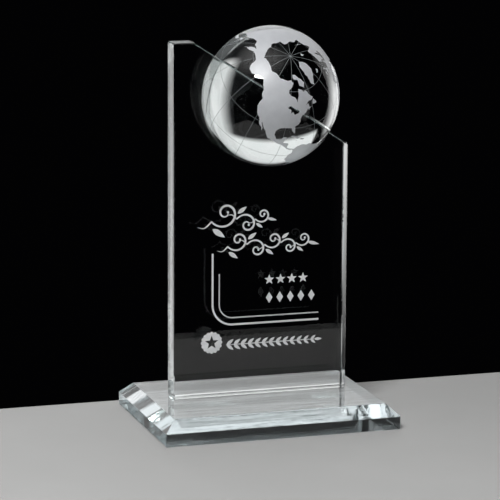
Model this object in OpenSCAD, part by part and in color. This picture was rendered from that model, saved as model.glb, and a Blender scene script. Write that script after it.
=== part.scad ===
// Free-standing crystal award: a bevelled base, an upright slab with a slanted top and a
// half globe on the slab's front face, all joined by thin films of clear adhesive.
// Millimetres, +Z up, the front faces -Y. The origin is the centre of the base's underside.

/* [Base] */
// Width of the base, left to right
base_w = 139; // [120:1:180]
// Depth of the base, front to back
base_d = 101; // [92:1:140]
// Full thickness of the base
base_h = 14; // [10:0.5:24]
// Width of the bevel round the top of the base, seen from above
bevel_w = 6.8; // [3:0.2:10]
// Height of the same bevel
bevel_h = 6.6; // [3:0.2:8]
// Polished chamfer along the lower edges and the upright corners of the base
base_chamfer = 0.5; // [0.2:0.1:1.2]

/* [Tower] */
// Width of the upright slab
tower_w = 104; // [90:1:110]
// Thickness of the slab
tower_t = 12.6; // [8:0.2:20]
// Height of the slab's left end above the base
tower_tall_h = 205; // [190:1:260]
// Height of the slab's right end above the base
tower_short_h = 144; // [120:1:170]
// Width of the level stretch at the top of the left end
level_top_w = 13; // [4:1:30]
// Polished chamfer along every edge of the slab
tower_chamfer = 0.6; // [0.2:0.1:1.2]
// Slab's centre line to the right of the middle of the base
tower_x = 1; // [-4:0.5:4]
// Slab's front face behind the middle of the base
tower_front_y = -2.1; // [-4:0.1:8]

/* [Half globe] */
// Diameter of the half globe
globe_d = 80; // [60:1:84]
// Polished chamfer round the rim of its flat back
globe_chamfer = 0.4; // [0.2:0.1:1]
// Globe's centre to the right of the middle of the base
globe_x = 5; // [-4:0.5:8]
// Globe's centre above the base's top face
globe_h = 173.8; // [165:0.1:185]

/* [Adhesive] */
// Thickness of the clear adhesive films
film_t = 0.15; // [0.1:0.05:0.3]

/* [Hidden] */
overcut = 1;
glass = [0.82, 0.88, 0.88, 0.45];
adhesive = [0.9, 0.95, 1, 0.6];

tower_z = base_h + film_t;
tower_back_y = tower_front_y + tower_t;
globe_z = base_h + globe_h;

// Front outline of the slab, with x from its centre line and y up from its bottom edge
tower_corners = [
    [-tower_w / 2, 0],
    [tower_w / 2, 0],
    [tower_w / 2, tower_short_h],
    [-tower_w / 2 + level_top_w, tower_tall_h],
    [-tower_w / 2, tower_tall_h],
];
slant_angle = atan2(tower_tall_h - tower_short_h, tower_w - level_top_w);
slant_normal = [sin(slant_angle), cos(slant_angle)];

// The outline p with each corner cut back by c along both of its edges
function cut_corners(p, c) = [
    for (i = [0 : len(p) - 1])
        let (
            back = p[(i + len(p) - 1) % len(p)] - p[i],
            ahead = p[(i + 1) % len(p)] - p[i]
        )
        each [p[i] + c * back / norm(back), p[i] + c * ahead / norm(ahead)]
];

// Removes the corner where the face z = 0 meets the side of an extruded outline, from a to b
// with the material on the left
module edge_cut(a, b, c) {
    along = b - a;
    translate([a[0], a[1], 0])
        rotate([0, 0, atan2(along[1], along[0])])
            translate([-overcut, 0, 0])
                rotate([90, 0, 90])
                    linear_extrude(norm(along) + 2 * overcut)
                        polygon([[c + overcut, -overcut], [-overcut, c + overcut], [-overcut, -overcut]]);
}

// A plate t thick of convex outline p, with a chamfer c along both rims
module chamfered_plate(p, t, c) {
    difference() {
        linear_extrude(t) polygon(p);
        for (i = [0 : len(p) - 1]) {
            a = p[i];
            b = p[(i + 1) % len(p)];
            edge_cut(a, b, c);
            translate([0, 0, t / 2]) mirror([0, 0, 1]) translate([0, 0, -t / 2]) edge_cut(a, b, c);
        }
    }
}

// Upright section of the base, w wide
module base_section(w) {
    half = w / 2;
    polygon([
        [-half + base_chamfer, 0],
        [half - base_chamfer, 0],
        [half, base_chamfer],
        [half, base_h - bevel_h],
        [half - bevel_w, base_h],
        [-half + bevel_w, base_h],
        [-half, base_h - bevel_h],
        [-half, base_chamfer],
    ]);
}

// Solid plate with a wide bevel round its top
module base() {
    plan = [
        [-base_w / 2, -base_d / 2],
        [base_w / 2, -base_d / 2],
        [base_w / 2, base_d / 2],
        [-base_w / 2, base_d / 2],
    ];
    color(glass) intersection() {
        translate([0, base_d / 2, 0]) rotate([90, 0, 0]) linear_extrude(base_d) base_section(base_w);
        translate([-base_w / 2, 0, 0]) rotate([90, 0, 90]) linear_extrude(base_w) base_section(base_d);
        linear_extrude(base_h) polygon(cut_corners(plan, base_chamfer));
    }
}

// Adhesive between the base and the foot of the slab
module base_film() {
    color(adhesive)
        translate([tower_x - tower_w / 2 + tower_chamfer, tower_front_y + tower_chamfer, base_h])
            cube([tower_w - 2 * tower_chamfer, tower_t - 2 * tower_chamfer, film_t]);
}

// Upright slab with a level and a slanted top edge
module tower() {
    color(glass)
        translate([tower_x, tower_back_y, tower_z])
            rotate([90, 0, 0])
                chamfered_plate(cut_corners(tower_corners, tower_chamfer), tower_t, tower_chamfer);
}

// Adhesive where the back of the half globe lies on the slab, up to the slanted edge
module globe_film() {
    color(adhesive)
        translate([0, tower_front_y, 0])
            rotate([90, 0, 0])
                linear_extrude(film_t)
                    intersection() {
                        translate([globe_x, globe_z]) circle(d = globe_d - 2 * globe_chamfer, $fn = 128);
                        translate([tower_x, tower_z] - tower_chamfer * slant_normal) polygon(tower_corners);
                    }
}

// Solid half ball with its flat back against the slab
module half_globe() {
    r = globe_d / 2;
    color(glass)
        translate([globe_x, tower_front_y - film_t, globe_z])
            rotate([90, 0, 0])
                rotate_extrude($fn = 128)
                    difference() {
                        intersection() {
                            circle(r = r, $fn = 128);
                            square(r);
                        }
                        polygon([
                            [r - globe_chamfer - overcut, -overcut],
                            [r + overcut, -overcut],
                            [r + overcut, globe_chamfer + overcut],
                        ]);
                    }
}

base();
base_film();
tower();
globe_film();
half_globe();
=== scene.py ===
"""Looks of the crystal award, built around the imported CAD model. Metres, +Z up, the front faces -Y."""

import math
import random

import bmesh
import bpy
from mathutils import Matrix, Vector
from mathutils.geometry import delaunay_2d_cdt
from mathutils.kdtree import KDTree


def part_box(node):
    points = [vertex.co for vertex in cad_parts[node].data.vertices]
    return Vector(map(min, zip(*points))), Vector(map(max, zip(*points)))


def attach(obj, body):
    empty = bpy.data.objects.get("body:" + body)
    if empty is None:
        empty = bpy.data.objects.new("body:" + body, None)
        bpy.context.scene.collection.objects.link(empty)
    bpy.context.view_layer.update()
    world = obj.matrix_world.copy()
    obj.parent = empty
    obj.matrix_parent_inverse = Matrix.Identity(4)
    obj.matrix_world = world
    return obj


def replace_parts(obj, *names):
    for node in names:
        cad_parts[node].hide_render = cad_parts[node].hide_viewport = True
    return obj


MM = 0.001

# The photograph's viewpoint: the point it looks at, and the angles in degrees
AIM = Vector((-0.0045, 0.0017, 0.0983))
AZIMUTH, ELEVATION, ROLL = -17.73, 11.43, 0.31
DISTANCE = 1.616
LENS = 203.1

IOR = 1.52
FROST_H = 0.03 * MM  # how far frosting stands above and below the polished surface
LINE_H = 0.02 * MM
BOND_LAP = 0.03 * MM  # how far the shown adhesive reaches into the crystal on both sides of it

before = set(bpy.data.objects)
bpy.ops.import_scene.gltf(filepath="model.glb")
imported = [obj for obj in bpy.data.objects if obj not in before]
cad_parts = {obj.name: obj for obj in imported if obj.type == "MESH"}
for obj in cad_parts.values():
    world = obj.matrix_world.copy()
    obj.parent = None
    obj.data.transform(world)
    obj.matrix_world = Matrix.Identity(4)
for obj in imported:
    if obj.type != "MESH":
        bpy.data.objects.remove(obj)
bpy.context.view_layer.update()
tower_low, tower_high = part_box("tower")
globe_low, globe_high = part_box("half_globe")
globe_film_low, globe_film_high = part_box("globe_film")

globe_r = (globe_high.x - globe_low.x) / 2
globe_centre = Vector(((globe_low.x + globe_high.x) / 2, globe_high.y, (globe_low.z + globe_high.z) / 2))
tower_x = (tower_low.x + tower_high.x) / 2


# ---------------------------------------------------------------- materials


def new_material(name):
    """An empty node material and its output node."""
    material = bpy.data.materials.new(name)
    material.use_nodes = True
    tree = material.node_tree
    tree.nodes.clear()
    return material, tree, tree.nodes.new("ShaderNodeOutputMaterial")


def noise_at(tree, size, detail=3.0, stretch=(1, 1, 1)):
    """Factor of a noise texture whose blobs are about size metres across."""
    where = tree.nodes.new("ShaderNodeTexCoord")
    mapping = tree.nodes.new("ShaderNodeMapping")
    mapping.inputs["Scale"].default_value = [s / size for s in stretch]
    texture = tree.nodes.new("ShaderNodeTexNoise")
    texture.inputs["Scale"].default_value = 1.0
    texture.inputs["Detail"].default_value = detail
    tree.links.new(where.outputs["Object"], mapping.inputs["Vector"])
    tree.links.new(mapping.outputs["Vector"], texture.inputs["Vector"])
    return texture.outputs["Fac"]


def ramp(tree, factor, low, high, start=0.3, end=0.7):
    """Colour ramp from low to high, or a map of two numbers given as greys."""
    node = tree.nodes.new("ShaderNodeValToRGB")
    stops = node.color_ramp.elements
    stops[0].position, stops[1].position = start, end
    stops[0].color, stops[1].color = (*low, 1), (*high, 1)
    tree.links.new(factor, node.inputs["Fac"])
    return node.outputs["Color"]


def bump(tree, height, strength, distance):
    """Normal output of a bump node."""
    node = tree.nodes.new("ShaderNodeBump")
    node.inputs["Strength"].default_value = strength
    node.inputs["Distance"].default_value = distance
    tree.links.new(height, node.inputs["Height"])
    return node.outputs["Normal"]


def crystal(name, tint, absorbed, density, ripple, wave_size, stretch, detail):
    """Polished clear crystal with a faint ripple and haze, and a tint that deepens with its thickness."""
    material, tree, out = new_material(name)
    glass = tree.nodes.new("ShaderNodeBsdfPrincipled")
    glass.inputs["Base Color"].default_value = (*tint, 1)
    glass.inputs["Transmission Weight"].default_value = 1.0
    glass.inputs["IOR"].default_value = IOR
    haze = noise_at(tree, 6 * MM, detail=4.0, stretch=(1, 1, 0.4))
    tree.links.new(ramp(tree, haze, (0.0,) * 3, (0.02,) * 3, 0.45, 0.8), glass.inputs["Roughness"])
    wave = noise_at(tree, wave_size, detail, stretch)
    tree.links.new(bump(tree, wave, ripple, 0.1 * MM), glass.inputs["Normal"])
    volume = tree.nodes.new("ShaderNodeVolumeAbsorption")
    volume.inputs["Color"].default_value = (*absorbed, 1)
    volume.inputs["Density"].default_value = density
    tree.links.new(glass.outputs["BSDF"], out.inputs["Surface"])
    tree.links.new(volume.outputs["Volume"], out.inputs["Volume"])
    return material


def frosting(name, light, dark, grain, see_through):
    """Sandblasted crystal: a fine matt grain with slightly uneven density."""
    material, tree, out = new_material(name)
    matt = tree.nodes.new("ShaderNodeBsdfPrincipled")
    cloud = noise_at(tree, 5 * MM, detail=4.0)
    tree.links.new(ramp(tree, cloud, dark, light, 0.3, 0.65), matt.inputs["Base Color"])
    speck = noise_at(tree, grain, detail=2.0)
    tree.links.new(ramp(tree, speck, (0.34,) * 3, (0.5,) * 3), matt.inputs["Roughness"])
    tree.links.new(bump(tree, speck, 0.35, 0.03 * MM), matt.inputs["Normal"])
    matt.inputs["IOR"].default_value = IOR
    matt.inputs["Transmission Weight"].default_value = see_through
    tree.links.new(matt.outputs["BSDF"], out.inputs["Surface"])
    return material


def passing(name):
    """A boundary of the crystal's own index, with no reflection. It passes light on through the adhesive
    films and the inner side of the frosting."""
    material, tree, out = new_material(name)
    clear = tree.nodes.new("ShaderNodeBsdfRefraction")
    clear.inputs["IOR"].default_value = IOR
    clear.inputs["Roughness"].default_value = 0.0
    tint = ramp(tree, noise_at(tree, 10 * MM), (0.97, 0.985, 0.98), (1, 1, 1))
    tree.links.new(tint, clear.inputs["Color"])
    tree.links.new(clear.outputs["BSDF"], out.inputs["Surface"])
    return material


def matt_floor(name, light, dark):
    """Plain matt surface, very slightly uneven."""
    material, tree, out = new_material(name)
    paint = tree.nodes.new("ShaderNodeBsdfPrincipled")
    tree.links.new(ramp(tree, noise_at(tree, 60 * MM), dark, light), paint.inputs["Base Color"])
    paint.inputs["Roughness"].default_value = 0.6
    tree.links.new(paint.outputs["BSDF"], out.inputs["Surface"])
    return material


BASE_CRYSTAL = crystal(
    "base_crystal", tint=(0.97, 0.985, 0.995), absorbed=(0.52, 0.81, 0.88), density=3.0,
    ripple=0.6, wave_size=4 * MM, stretch=(0.12, 1, 1), detail=3.0,
)
TOWER_CRYSTAL, GLOBE_CRYSTAL = (
    crystal(
        name, tint=(0.99, 1.0, 1.0), absorbed=(0.70, 0.88, 0.86), density=2.0,
        ripple=0.04, wave_size=14 * MM, stretch=(0.5, 1, 1), detail=1.0,
    )
    for name in ("tower_crystal", "globe_crystal")
)
ADHESIVE = passing("clear_adhesive")
MAP_FROST = frosting("map_frost", (0.86, 0.88, 0.92), (0.79, 0.81, 0.85), 0.25 * MM, 0.48)
FROST_BACK = passing("frost_back")
PANEL_FROST = frosting("panel_frost", (0.68, 0.69, 0.70), (0.56, 0.57, 0.58), 0.2 * MM, 0.0)
THIN_FROST = frosting("thin_frost", (0.55, 0.56, 0.57), (0.42, 0.43, 0.44), 0.2 * MM, 0.0)
LINE_FROST = frosting("line_frost", (0.30, 0.32, 0.33), (0.20, 0.215, 0.225), 0.2 * MM, 0.3)
FLOOR_PAINT = matt_floor("pale_floor", (0.38, 0.38, 0.376), (0.365, 0.365, 0.361))


# ---------------------------------------------------------------- mesh helpers


def finish_mesh(name, mesh_maker, material, smooth_angle=None):
    """Makes the object, with outward normals, and rides it on the root body."""
    mesh = bpy.data.meshes.new(name)
    bm = bmesh.new()
    mesh_maker(bm)
    bmesh.ops.recalc_face_normals(bm, faces=bm.faces)
    bm.to_mesh(mesh)
    bm.free()
    mesh.materials.append(material)
    if smooth_angle is not None:
        mesh.shade_smooth()
        mesh.set_sharp_from_angle(angle=math.radians(smooth_angle))
    piece = bpy.data.objects.new(name, mesh)
    bpy.context.scene.collection.objects.link(piece)
    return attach(piece, "root")


def inside(point, ring):
    """Whether a 2D point is inside a closed ring, by the even-odd rule."""
    x, y = point
    odd = False
    px, py = ring[-1]
    for qx, qy in ring:
        if (qy > y) != (py > y) and x < (px - qx) * (y - qy) / (py - qy) + qx:
            odd = not odd
        px, py = qx, qy
    return odd


def boxed(ring):
    """A ring with its bounding box, which makes the inside test quick."""
    xs, ys = [p[0] for p in ring], [p[1] for p in ring]
    return ring, (min(xs), min(ys), max(xs), max(ys))


def in_any(point, rings):
    """Whether the point is inside one of the boxed rings."""
    x, y = point
    return any(b[0] <= x <= b[2] and b[1] <= y <= b[3] and inside(point, ring) for ring, b in rings)


def relief(name, solids, holes, place, height, material, spread=(), back=None):
    """A thin closed layer on a surface. It covers the rings in solids less those in holes. place(x, y, h)
    gives the point at height h over the flat point (x, y). spread holds flat points that let the layer
    follow a curve, and back is the material of its inner side."""
    points, edges = [Vector(p) for p in spread], []
    for ring in list(solids) + list(holes):
        first = len(points)
        points += [Vector(p) for p in ring]
        edges += [(first + i, first + (i + 1) % len(ring)) for i in range(len(ring))]
    flat, _, faces, *_ = delaunay_2d_cdt(points, edges, [], 0, 1e-7)
    solid_rings, hole_rings = [boxed(r) for r in solids], [boxed(r) for r in holes]
    kept = []
    for face in faces:
        middle = sum((flat[i] for i in face), Vector((0, 0))) / len(face)
        if in_any(middle, solid_rings) and not in_any(middle, hole_rings):
            kept.append(face)
    sides = {}
    for face in kept:
        for a, b in zip(face, face[1:] + face[:1]):
            sides[frozenset((a, b))] = sides.get(frozenset((a, b)), []) + [(a, b)]

    def build(bm):
        used = sorted({i for face in kept for i in face})
        top = {i: bm.verts.new(place(flat[i].x, flat[i].y, height)) for i in used}
        low = {i: bm.verts.new(place(flat[i].x, flat[i].y, -height)) for i in used}
        for face in kept:
            bm.faces.new([top[i] for i in face])
            bm.faces.new([low[i] for i in reversed(face)]).material_index = 1 if back else 0
        for pair in sides.values():
            if len(pair) == 1:
                a, b = pair[0]
                bm.faces.new([top[b], top[a], low[a], low[b]])

    piece = finish_mesh(name, build, material, smooth_angle=30)
    if back:
        piece.data.materials.append(back)
    return piece


# ---------------------------------------------------------------- half globe


GLOBE_RINGS, GLOBE_SEGMENTS = 90, 288
GLOBE_CHAMFER = 0.4 * MM


def half_globe():
    """Finely divided half ball with a chamfered rim and a flat back."""

    def build(bm):
        rim_z = GLOBE_CHAMFER
        profile = []
        last = math.acos(rim_z / globe_r)
        for i in range(1, GLOBE_RINGS + 1):
            angle = last * i / GLOBE_RINGS
            profile.append((globe_r * math.sin(angle), globe_r * math.cos(angle)))
        profile.append((profile[-1][0] - GLOBE_CHAMFER, 0.0))
        front = bm.verts.new(globe_centre + Vector((0, -globe_r, 0)))
        back = bm.verts.new(globe_centre)
        rings = []
        for r, depth in profile:
            ring = []
            for j in range(GLOBE_SEGMENTS):
                turn = math.tau * j / GLOBE_SEGMENTS
                around = Vector((r * math.cos(turn), -depth, r * math.sin(turn)))
                ring.append(bm.verts.new(globe_centre + around))
            rings.append(ring)
        for j in range(GLOBE_SEGMENTS):
            k = (j + 1) % GLOBE_SEGMENTS
            bm.faces.new((front, rings[0][j], rings[0][k]))
            bm.faces.new((back, rings[-1][k], rings[-1][j]))
            for a, b in zip(rings, rings[1:]):
                bm.faces.new((a[j], b[j], b[k], a[k]))

    piece = finish_mesh("half_globe_crystal", build, GLOBE_CRYSTAL, smooth_angle=30)
    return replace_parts(piece, "half_globe")


# How the map is turned on the globe, in degrees: the place at the front, and the lean of the north pole
# to the right
FRONT_LAT, FRONT_LON, POLE_LEAN = 49, -88, 5.5
MAP_TURN = Matrix.Rotation(math.radians(POLE_LEAN), 3, "Y") @ Matrix.Rotation(math.radians(FRONT_LAT), 3, "X")
MAP_EDGE = 89.2  # degrees from the front of the globe to where the map stops
COAST_STEP = 1.1  # longest side of a coastline, in degrees
COAST_ROUGH = 0.11  # how far it strays sideways, as a share of its length
MAP_GRID = 2.2  # spacing of the points inside the land, in degrees
LINE_WIDTH = 0.27  # of the net's lines, in degrees

# Coastlines by latitude and longitude, from general geography and simplified: most of the Arctic islands
# are left out, Greenland is narrow, the Great Lakes are one shape, a broad neck closes the Bering Strait
# and Alaska's south-west coast is filled out
NORTH_AMERICA = [
    (71, -156), (70, -145), (69, -138), (70, -128), (68, -115), (68, -98), (69, -91), (67, -86),
    (64, -88), (61, -93), (58.5, -93), (56.5, -89), (55, -82.5), (51.5, -80), (54.5, -79), (58, -77.5),
    (62, -77), (61, -71), (59, -68.5), (60, -65), (56, -61), (53, -56), (51, -58), (50, -66), (48, -69),
    (49, -65), (46, -64), (46, -60), (43.5, -65.5), (45, -66), (42, -70), (40.5, -74), (37, -76),
    (35, -76), (31.5, -81), (28, -80.5), (25, -80.5), (27, -82.5), (30, -84), (30, -89), (29.5, -94),
    (27, -97.5), (22, -98), (19, -96), (18.5, -92), (21, -90), (21.5, -87), (16, -88.5), (15, -83.5),
    (11, -84), (9, -80), (8.4, -77.2), (7.2, -77.9), (8, -82), (11, -86), (14, -92), (16, -96),
    (18, -103), (22, -106), (26, -109.5), (31.5, -114.5), (27, -111.5), (23, -110), (28, -115),
    (33, -117.5), (35, -121), (40, -124.5), (48, -124.5), (51, -128), (55, -131), (58, -136), (60, -141),
    (60, -147), (58, -152), (55, -158), (55, -165), (58, -172), (62, -177), (67, 180), (70, -174),
    (71, -165),
]
LAKES = [
    [(47, -92), (49, -88), (47, -84), (46, -80), (44, -76.5), (42.5, -79), (41.5, -83), (44, -84.5),
     (42, -87.5), (45.5, -87.5)],
]
ISLANDS = [
    [(73.5, -88), (73.5, -80), (70, -69), (66, -62), (62, -66), (64.5, -74), (69.5, -77), (70, -86)],
    [(51.5, -56), (49, -53.5), (47, -53), (47.5, -59), (50, -58)],
    [(66.5, -16), (64.5, -14), (63.5, -19), (64.5, -23)],
    [(80, 12), (80, 25), (77, 17), (78.5, 12)],
]
GREENLAND = [
    (82, -34), (79, -20), (74, -21), (70, -24), (66, -35), (60, -44), (63, -49), (68, -48), (74, -49),
    (79, -50),
]
WEST_INDIES = [
    [(21.9, -84.8), (23.1, -82), (22.4, -79), (20.2, -74.3), (19.9, -77.5), (21.8, -80)],
    [(19.8, -73), (19.3, -69.3), (18, -71.3), (18.4, -74.3)],
    [(18.4, -78.2), (18.1, -76.3), (17.8, -77.3)],
    [(18.5, -67.1), (18.2, -65.7), (18, -67)],
]
SOUTH_AMERICA = [
    (8.4, -77.2), (11, -74.8), (12.3, -71.7), (10.6, -66), (10.6, -62), (8, -59.5), (5.8, -55),
    (4.2, -51.5), (0, -50), (-2.6, -42), (-5, -35.5), (-8.5, -35), (-13, -38.7), (-19, -39.7),
    (-22.9, -42.2), (-26, -48.6), (-33, -52.7), (-35, -57), (-38.8, -61), (-41, -64), (-47, -66),
    (-54.8, -66), (-53, -73), (-46, -75.3), (-41.5, -73.8), (-30, -71.5), (-18.4, -70.4), (-14.5, -76),
    (-6, -81), (-2.4, -80.4), (1, -79.8), (3.8, -77.3), (7.2, -77.9),
]
EURASIA = [
    (66, -168), (68.5, -177), (70, 170), (71, 160), (72.5, 148), (71.5, 138), (73.5, 126), (73.5, 113),
    (77.5, 104), (74.5, 87), (73, 71), (68.5, 67), (68.5, 46), (65, 38), (67, 35), (71, 26), (67.5, 15),
    (62, 5), (58, 7), (59, 10.5), (55.5, 13.5), (59.5, 19), (65.5, 23), (60, 23), (59.5, 29),
    (54.5, 19.5), (54, 11), (57.5, 10), (53.5, 7.5), (51, 2), (48.5, -4.5), (46, -1.5), (43.5, -2),
    (43.5, -8.5), (37, -9), (36, -5.5), (39.5, 0), (43.5, 4.5), (44, 9), (40, 15.5), (45.5, 12.5),
    (40, 19.5), (37, 22.5), (41, 29), (30, 50), (20, 75), (20, 105), (30, 121.5), (38, 122), (35, 129),
    (43, 132), (48, 139), (54, 140), (59, 143.5), (59.5, 152.5), (62, 161), (57.5, 157), (51, 156.5),
    (56, 163), (60, 166), (62, 176), (62, -176),
]
NEAR_EURASIA = [
    [(58.5, -4), (54.5, -1), (52.5, 1.5), (51, 0), (50, -5.5), (54.5, -3.5), (57.5, -6)],
    [(55, -7), (53.5, -6), (51.5, -10), (54, -10)],
    [(77, 68), (74.5, 58), (71, 53), (75.5, 63)],
    [(45.5, 142), (43.5, 145.5), (42, 143), (41.5, 140)],
    [(41.5, 141), (38, 141.5), (35.5, 140.5), (33.5, 136), (34, 131), (37, 137), (39, 140)],
    [(54, 142.5), (50, 143.5), (46, 143), (50, 142)],
]
AFRICA = [
    (36, -6), (33.5, -8), (28, -13), (21, -17), (14.5, -17.5), (8.5, -13.5), (4.5, -8), (6, 2), (4.5, 8),
    (-1, 9), (0, 25), (25, 30), (33, 11), (37, 9), (35.5, -1),
]


def towards(lat, lon):
    """Unit vector from the globe's centre to a place on the map."""
    up, turn = math.radians(lat), math.radians(lon - FRONT_LON)
    return MAP_TURN @ Vector((math.sin(turn) * math.cos(up), -math.cos(turn) * math.cos(up), math.sin(up)))


def flat_map(lat, lon):
    """A place as a point on a flat map centred on the front of the globe, in degrees from it."""
    n = towards(lat, lon)
    off = math.degrees(math.acos(max(-1.0, min(1.0, -n.y))))
    side = math.hypot(n.x, n.z) or 1.0
    return Vector((off * n.x / side, off * n.z / side))


def on_globe(x, y, h):
    """The point at height h over a point of the flat map."""
    off = math.hypot(x, y)
    angle = math.radians(off)
    side = math.sin(angle) / off if off else 0.0
    return globe_centre + (globe_r + h) * Vector((x * side, -math.cos(angle), y * side))


def coast(places, rng):
    """A closed coastline through the places, roughened between them, on the flat map."""
    ring = []
    corners = [flat_map(*p) for p in places]
    for start, end in zip(corners, corners[1:] + corners[:1]):
        line = [start, end]
        while (line[1] - line[0]).length > COAST_STEP:
            finer = [line[0]]
            for a, b in zip(line, line[1:]):
                side = Vector((a.y - b.y, b.x - a.x))
                finer += [(a + b) / 2 + side * rng.uniform(-COAST_ROUGH, COAST_ROUGH), b]
            line = finer
        ring += line[:-1]
    return ring


def ribbon(line, width):
    """Closed ring of an open line given that width."""
    left, right = [], []
    for i, p in enumerate(line):
        along = (line[min(i + 1, len(line) - 1)] - line[max(i - 1, 0)]).normalized()
        side = Vector((-along.y, along.x)) * width / 2
        left.append(p + side)
        right.append(p - side)
    return left + right[::-1]


def clipped(ring):
    """A ring of the flat map pulled in to the map's edge."""
    return [p if p.length <= MAP_EDGE else p * (MAP_EDGE / p.length) for p in ring]


def world_map():
    """The frosted land, and the fine net of meridians and parallels over the sea."""
    rng = random.Random(7)
    lands = {
        "land_north": [NORTH_AMERICA, EURASIA] + NEAR_EURASIA,
        "land_islands": ISLANDS,
        "land_greenland": [GREENLAND],
        "land_west_indies": WEST_INDIES,
        "land_south_america": [SOUTH_AMERICA],
        "land_africa": [AFRICA],
    }
    lakes = [coast(p, rng) for p in LAKES]
    land_rings = []
    for name, outlines in lands.items():
        rings = [clipped(coast(p, rng)) for p in outlines]
        land_rings += rings
        holes = lakes if name == "land_north" else []
        spread = grid_points(rings + holes)
        relief(name, rings, holes, on_globe, FROST_H, MAP_FROST, spread, back=FROST_BACK)
    lines = []
    for lon in range(-180, 180, 30):
        lines += seen_runs([flat_map(lat, lon) for lat in range(-60, 91, 2)])
    for lat in (-30, 0, 30, 60):
        lines += seen_runs([flat_map(lat, lon) for lon in range(-180, 181, 3)])
    net = [ribbon(line, LINE_WIDTH) for line in lines]
    relief("map_net", net, land_rings, on_globe, LINE_H, LINE_FROST)


def seen_runs(line):
    """The stretches of a line that lie on the half globe."""
    runs, run = [], []
    for p in line:
        if p.length < MAP_EDGE:
            run.append(p)
        else:
            if len(run) > 1:
                runs.append(run)
            run = []
    if len(run) > 1:
        runs.append(run)
    return runs


def grid_points(rings):
    """Points of an even grid inside the rings, clear of their edges."""
    boxes = [boxed(r) for r in rings]
    edge = [p for r in rings for p in r]
    tree = KDTree(len(edge))
    for i, p in enumerate(edge):
        tree.insert((p.x, p.y, 0), i)
    tree.balance()
    found, rows = [], int(90 / MAP_GRID)
    for j in range(-rows, rows + 1):
        for i in range(-rows, rows + 1):
            p = Vector(((i + j % 2 / 2) * MAP_GRID, j * MAP_GRID * 0.866))
            if p.length < MAP_EDGE and in_any(p, boxes) and tree.find((p.x, p.y, 0))[2] > MAP_GRID / 3:
                found.append(p)
    return found


# ---------------------------------------------------------------- adhesive films


def film(name, node, outline, low, high):
    """A shown film that laps into the crystal on both sides. outline(level) gives its corners at a level."""

    def build(bm):
        bottom = [bm.verts.new(p) for p in outline(low - BOND_LAP)]
        top = [bm.verts.new(p) for p in outline(high + BOND_LAP)]
        bm.faces.new(bottom)
        bm.faces.new(top[::-1])
        for i in range(len(top)):
            k = (i + 1) % len(top)
            bm.faces.new((bottom[i], bottom[k], top[k], top[i]))

    piece = finish_mesh(name, build, ADHESIVE)
    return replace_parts(piece, node)


def base_film():
    """Film under the foot of the tower."""
    low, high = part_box("base_film")
    corners = [(low.x, low.y), (high.x, low.y), (high.x, high.y), (low.x, high.y)]
    film("base_joint", "base_film", lambda z: [Vector((x, y, z)) for x, y in corners], low.z, high.z)


def globe_film():
    """Film behind the half globe, with the outline of the CAD film."""
    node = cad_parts["globe_film"]
    back = globe_film_high.y
    rim = {(round(v.co.x, 6), round(v.co.z, 6)) for v in node.data.vertices if abs(v.co.y - back) < 1e-6}
    middle = Vector((sum(x for x, _ in rim), sum(z for _, z in rim))) / len(rim)
    rim = sorted(rim, key=lambda p: math.atan2(p[1] - middle.y, p[0] - middle.x))
    film(
        "globe_joint", "globe_film", lambda y: [Vector((x, y, z)) for x, z in rim],
        globe_film_low.y, globe_film_high.y,
    )


# ---------------------------------------------------------------- ornament on the tower


def on_tower(x, y, h):
    """The point at height h over the tower's front face, x and y mm from its centre line and foot."""
    return Vector((tower_x + x * MM, tower_low.y - h, tower_low.z + y * MM))


def smooth(points, steps=10):
    """A curve through the points."""
    line = []
    for i in range(len(points) - 1):
        p0, p1, p2 = points[max(i - 1, 0)], points[i], points[i + 1]
        p3 = points[min(i + 2, len(points) - 1)]
        for s in range(steps):
            t = s / steps
            line.append(
                0.5 * (2 * p1 + (p2 - p0) * t + (2 * p0 - 5 * p1 + 4 * p2 - p3) * t**2
                       + (3 * p1 - p0 - 3 * p2 + p3) * t**3)
            )
    return line + [points[-1]]


def stroke(line, width, start=0.15, end=0.15, peak=0.5):
    """Closed ring of a pen stroke that is widest at peak of its length."""
    left, right = [], []
    count = len(line) - 1
    for i, p in enumerate(line):
        t = i / count
        swell = math.sin(math.pi / 2 * (t / peak if t < peak else (1 - t) / (1 - peak)))
        ends = start if t < peak else end
        half = width / 2 * (ends + (1 - ends) * swell)
        along = (line[min(i + 1, count)] - line[max(i - 1, 0)]).normalized()
        side = Vector((-along.y, along.x)) * half
        left.append(p + side)
        right.append(p - side)
    return left + right[::-1]


def curl(centre, r, start, turns, shrink=0.16, steps=56):
    """A spiral from radius r down to shrink of it. Turns are counter-clockwise when positive."""
    line = []
    for i in range(steps + 1):
        t = i / steps
        radius = r * shrink**t
        angle = start + math.tau * turns * t
        line.append(Vector(centre) + radius * Vector((math.cos(angle), math.sin(angle))))
    return line


def leaf(root, angle, length, width):
    """A pointed leaf."""
    along = Vector((math.cos(angle), math.sin(angle)))
    side = Vector((-along.y, along.x))
    half = [(t / 8, width / 2 * math.sin(math.pi * (t / 8) ** 0.8)) for t in range(9)]
    return [root + along * length * t + side * w for t, w in half] + [
        root + along * length * t - side * w for t, w in half[-2:0:-1]
    ]


def star(centre, r, points=5, inner=0.42):
    """A pointed star, one point up."""
    ring = []
    for i in range(2 * points):
        radius = r if i % 2 == 0 else r * inner
        angle = math.pi / 2 + math.pi * i / points
        ring.append(Vector(centre) + radius * Vector((math.cos(angle), math.sin(angle))))
    return ring


def disc(centre, r, segments=64):
    """A round ring."""
    return [
        Vector(centre) + r * Vector((math.cos(math.tau * i / segments), math.sin(math.tau * i / segments)))
        for i in range(segments)
    ]


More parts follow.
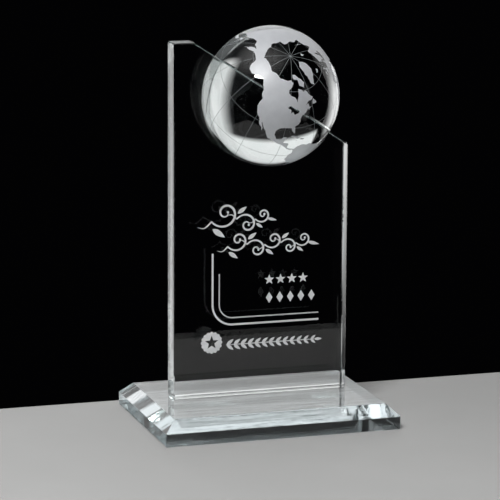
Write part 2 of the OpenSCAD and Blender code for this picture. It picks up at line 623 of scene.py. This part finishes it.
def scroll(x0, x1, y, first_r, ratio, pen):
    """A running scroll of curls that turn up and down in turn, from x0 to x1 along the height y."""
    rings = []
    x, r, up = x0, first_r, 1
    while x + 2 * r <= x1 + 0.01:
        centre = (x + r, y + up * r * 0.45)
        start = math.radians(-150 if up > 0 else 150)
        line = curl(centre, r, start, up * 1.45)
        tail = Vector((x - r * 0.75, y - up * r * 0.35))
        lead = smooth([tail, (tail + line[0]) / 2 + Vector((0, -up * r * 0.22)), line[0]], 8)
        rings.append(stroke(lead[:-1] + line, pen * (0.6 + 0.4 * r / first_r), 0.1, 0.35, 0.45))
        rings.append(disc(line[-1], pen * 0.55, 20))
        root = Vector((x + r * 0.2, y - up * r * 0.5))
        rings.append(leaf(root, math.radians(-up * 35), r * 0.95, r * 0.34))
        x += 1.62 * r
        r *= ratio
        up = -up
    rings.append(leaf(Vector((x - r * 0.2, y)), math.radians(up * 14), r * 1.6, r * 0.42))
    return rings


def garland(x0, x1, y, size):
    """A laurel branch: a fine stem with leaves in pairs."""
    rings = [stroke([Vector((x0 + (x1 - x0) * t / 40, y)) for t in range(41)], 0.55, 0.6, 0.4)]
    pitch = size * 0.92
    count = int((x1 - x0 - size) / pitch)
    for i in range(count + 1):
        root = Vector((x0 + i * pitch + 0.6, y))
        scale = 1 - 0.25 * i / count
        for up in (1, -1):
            rings.append(leaf(root, math.radians(up * 38), size * scale * 1.12, size * scale * 0.42))
    rings.append(leaf(Vector((x1 - size * 0.9, y)), 0, size, size * 0.36))
    return rings


# Plain corner border and the round seal under it, in millimetres from the tower's centre line and foot
CORNER_LEFT, CORNER_FOOT, CORNER_TOP, CORNER_END = -29, 42, 84, 35
CORNER_R = 12
CORNER_GAP, CORNER_STEP = 4, 12  # between the two lines, and how much lower the inner one starts
EMBLEM_AT = (-29.5, 32)


def rule(left, foot, top):
    """A line down the left side, round a quarter circle and along the foot."""
    r = CORNER_R - (left - CORNER_LEFT)
    line = [Vector((left, top + (foot + r - top) * i / 12)) for i in range(12)]
    for i in range(25):
        turn = math.pi * (1 + i / 48)
        line.append(Vector((left + r + r * math.cos(turn), foot + r + r * math.sin(turn))))
    return line + [Vector((left + r + (CORNER_END - left - r) * i / 12, foot)) for i in range(1, 13)]


def rosette(centre, r, scallops=16, depth=0.05, segments=192):
    """A round seal with a scalloped edge."""
    ring = []
    for i in range(segments):
        angle = math.tau * i / segments
        radius = r * (1 + depth * math.cos(scallops * angle))
        ring.append(Vector(centre) + radius * Vector((math.cos(angle), math.sin(angle))))
    return ring


def ornament():
    """Generic decoration where such an award carries its engraving."""

    def engrave(name, solids, holes=()):
        relief(name, solids, list(holes), on_tower, FROST_H, PANEL_FROST)

    engrave("engraved_scroll_upper", scroll(-31, 10, 103, 9.5, 0.74, 1.25))
    engrave("engraved_scroll_lower", scroll(-21, 33.5, 88, 7.2, 0.92, 1.1))
    engrave("engraved_stars", [star((5 + 6.8 * i, 67), 3.1) for i in range(4)])
    diamonds = [star((5 + 6.4 * i, 56.5), 3.2, points=2, inner=0.62) for i in range(5)]
    engrave("engraved_diamonds", diamonds)
    outer = rule(CORNER_LEFT, CORNER_FOOT, CORNER_TOP)
    inner = rule(CORNER_LEFT + CORNER_GAP, CORNER_FOOT + CORNER_GAP, CORNER_TOP - CORNER_STEP)
    engrave("engraved_bar", [ribbon(outer, 1.1)])
    relief("engraved_lines", [ribbon(inner, 0.7)], [], on_tower, LINE_H, THIN_FROST)
    engrave("engraved_emblem", [rosette(EMBLEM_AT, 6.2)], [star(EMBLEM_AT, 4.2)])
    engrave("engraved_garland", garland(-21, 36.8, 30.2, 4.6))


# ---------------------------------------------------------------- stage, lights and camera


FLOOR_LOW = Vector((-0.27, -0.208))
FLOOR_HIGH = Vector((0.25, 0.062))
FLOOR_CORNER, FLOOR_EDGE, FLOOR_T = 0.012, 0.003, 0.02
FLOOR_GAP = 0.1 * MM


def floor():
    """Plain pale slab under the award, with rounded corners and edges. It ends just behind the award."""
    bm = bmesh.new()
    turns = (0, 0.4, 0.8, 1.2, math.pi / 2)
    levels = [(FLOOR_EDGE * (1 - math.sin(a)), -FLOOR_EDGE * (1 - math.cos(a))) for a in turns]
    levels.append((0.0, -FLOOR_T))
    rings = []
    for inset, z in levels:
        ring = []
        r = FLOOR_CORNER - inset
        for corner in range(4):
            x = (FLOOR_HIGH.x - FLOOR_CORNER) if corner in (0, 3) else (FLOOR_LOW.x + FLOOR_CORNER)
            y = (FLOOR_HIGH.y - FLOOR_CORNER) if corner in (0, 1) else (FLOOR_LOW.y + FLOOR_CORNER)
            for step in range(9):
                turn = math.pi / 2 * (corner + step / 8)
                ring.append(bm.verts.new((x + r * math.cos(turn), y + r * math.sin(turn), z - FLOOR_GAP)))
        rings.append(ring)
    for a, b in zip(rings, rings[1:]):
        for j in range(len(a)):
            k = (j + 1) % len(a)
            bm.faces.new((a[j], b[j], b[k], a[k]))
    bm.faces.new(rings[0])
    bm.faces.new(rings[-1][::-1])
    bmesh.ops.recalc_face_normals(bm, faces=bm.faces)
    mesh = bpy.data.meshes.new("floor")
    bm.to_mesh(mesh)
    bm.free()
    mesh.materials.append(FLOOR_PAINT)
    mesh.shade_smooth()
    mesh.set_sharp_from_angle(angle=math.radians(40))
    piece = bpy.data.objects.new("floor", mesh)
    bpy.context.scene.collection.objects.link(piece)


def glow(name, radiance, half, soft):
    """Light of a panel that fades out over soft = (left, right, bottom, top) metres inside its edges."""
    material, tree, out = new_material(name)
    where = tree.nodes.new("ShaderNodeTexCoord")
    split = tree.nodes.new("ShaderNodeSeparateXYZ")
    tree.links.new(where.outputs["Object"], split.inputs["Vector"])
    level = None
    for axis, edge, inner in (
        ("X", -half[0], -half[0] + soft[0]), ("X", half[0], half[0] - soft[1]),
        ("Y", -half[1], -half[1] + soft[2]), ("Y", half[1], half[1] - soft[3]),
    ):
        if edge == inner:
            continue
        fade = tree.nodes.new("ShaderNodeMapRange")
        falling = edge > inner
        fade.inputs["From Min"].default_value = inner if falling else edge
        fade.inputs["From Max"].default_value = edge if falling else inner
        fade.inputs["To Min"].default_value = 1.0 if falling else 0.0
        fade.inputs["To Max"].default_value = 0.0 if falling else 1.0
        tree.links.new(split.outputs[axis], fade.inputs["Value"])
        if level is None:
            level = fade.outputs["Result"]
        else:
            both = tree.nodes.new("ShaderNodeMath")
            both.operation = "MULTIPLY"
            tree.links.new(level, both.inputs[0])
            tree.links.new(fade.outputs["Result"], both.inputs[1])
            level = both.outputs["Value"]
    lamp = tree.nodes.new("ShaderNodeEmission")
    lamp.inputs["Strength"].default_value = radiance
    clear = tree.nodes.new("ShaderNodeBsdfTransparent")
    mix = tree.nodes.new("ShaderNodeMixShader")
    tree.links.new(level, mix.inputs["Fac"])
    tree.links.new(clear.outputs["BSDF"], mix.inputs[1])
    tree.links.new(lamp.outputs["Emission"], mix.inputs[2])
    tree.links.new(mix.outputs["Shader"], out.inputs["Surface"])
    return material


def panel(name, place, at, size, radiance, soft):
    """A standing diffuser panel that the camera doesn't see itself. It faces the point at, and soft gives the
    fade inside its left, right, bottom and top edges as the award sees it."""
    half = (size[0] / 2, size[1] / 2)
    mesh = bpy.data.meshes.new(name)
    corners = [(-half[0], -half[1], 0), (half[0], -half[1], 0), (half[0], half[1], 0), (-half[0], half[1], 0)]
    mesh.from_pydata(corners, [], [(0, 1, 2, 3)])
    mesh.materials.append(glow(name, radiance, half, soft))
    piece = bpy.data.objects.new(name, mesh)
    bpy.context.scene.collection.objects.link(piece)
    piece.location = place
    piece.rotation_mode = "QUATERNION"
    piece.rotation_quaternion = (Vector(place) - Vector(at)).to_track_quat("-Z", "Y")
    piece.visible_camera = False


def softbox(name, place, at, size, power):
    """A rectangular soft light that the camera doesn't see itself, aimed at a point."""
    light = bpy.data.lights.new(name, "AREA")
    light.shape = "RECTANGLE"
    light.size, light.size_y = size
    light.energy = power
    lamp = bpy.data.objects.new(name, light)
    bpy.context.scene.collection.objects.link(lamp)
    lamp.location = place
    lamp.rotation_mode = "QUATERNION"
    lamp.rotation_quaternion = (Vector(at) - Vector(place)).to_track_quat("-Z", "Y")
    lamp.visible_camera = False
    return lamp


def lights():
    """A small bright key from the upper left, a wide diffuser overhead, four more round the back that light
    the polished edges, and a dim one at the front right. It stays dark straight behind the award."""
    softbox("key", (-0.587, -0.839, 1.145), (0, 0, 0.15), (0.42, 0.42), 33)
    panel("overhead", (-0.28, -0.25, 1.1), (0, 0, 0.19), (1.6, 1.3), 1.3, (0.5, 0.5, 0.5, 0.5))
    panel("back_top", (1.2, 1.845, 1.42), (0, 0, 1.42), (2.9, 1.94), 0.95, (0.1, 0.3, 0.13, 0.6))
    panel("back_right", (0.925, 0.375, 0.25), (0, 0, 0.25), (0.73, 1.4), 0.88, (0.2, 0.05, 0.1, 0.3))
    panel(
        "left_far", (-0.7275, 0.42, 0.05), (-0.7275, 0, 0.05),
        (1.145, 0.54), 1.35, (0.2, 0.015, 0.05, 0.05),
    )
    panel(
        "left_near", (-0.0975, 0.42, 0.115), (-0.0975, 0, 0.115),
        (0.145, 0.37), 0.75, (0, 0.07, 0.16, 0.05),
    )
    panel("front_right", (0.79, -0.77, 0.06), (0, 0, 0.1), (0.3, 1.1), 0.5, (0.06, 0.06, 0.2, 0.2))
    world = bpy.data.worlds.new("studio")
    world.use_nodes = True
    background = world.node_tree.nodes["Background"]
    background.inputs["Color"].default_value = (0.0007, 0.0007, 0.0009, 1)
    background.inputs["Strength"].default_value = 1.0
    bpy.context.scene.world = world


def camera():
    """The photograph's viewpoint."""
    a, e = math.radians(AZIMUTH), math.radians(ELEVATION)
    back = Vector((math.sin(a) * math.cos(e), -math.cos(a) * math.cos(e), math.sin(e)))
    data = bpy.data.cameras.new("camera")
    data.lens = LENS
    data.sensor_width = 36.0
    data.clip_start, data.clip_end = 0.05, 20
    cam = bpy.data.objects.new("camera", data)
    bpy.context.scene.collection.objects.link(cam)
    cam.rotation_mode = "QUATERNION"
    cam.location = AIM + back * DISTANCE
    turn = (-back).to_track_quat("-Z", "Y").to_matrix() @ Matrix.Rotation(math.radians(ROLL), 3, "Z")
    cam.rotation_quaternion = turn.to_quaternion()
    bpy.context.scene.camera = cam


def light_paths():
    """Plain display colours, and enough bounces for light that is caught inside the crystal."""
    scene = bpy.context.scene
    scene.view_settings.view_transform = "Standard"
    scene.cycles.max_bounces = 24
    scene.cycles.glossy_bounces = 16
    scene.cycles.transmission_bounces = 24
    scene.cycles.transparent_max_bounces = 16


camera()
light_paths()
for node, material in (("base", BASE_CRYSTAL), ("tower", TOWER_CRYSTAL)):
    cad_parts[node].data.materials.clear()
    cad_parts[node].data.materials.append(material)
half_globe()
base_film()
globe_film()
world_map()
ornament()
floor()
lights()
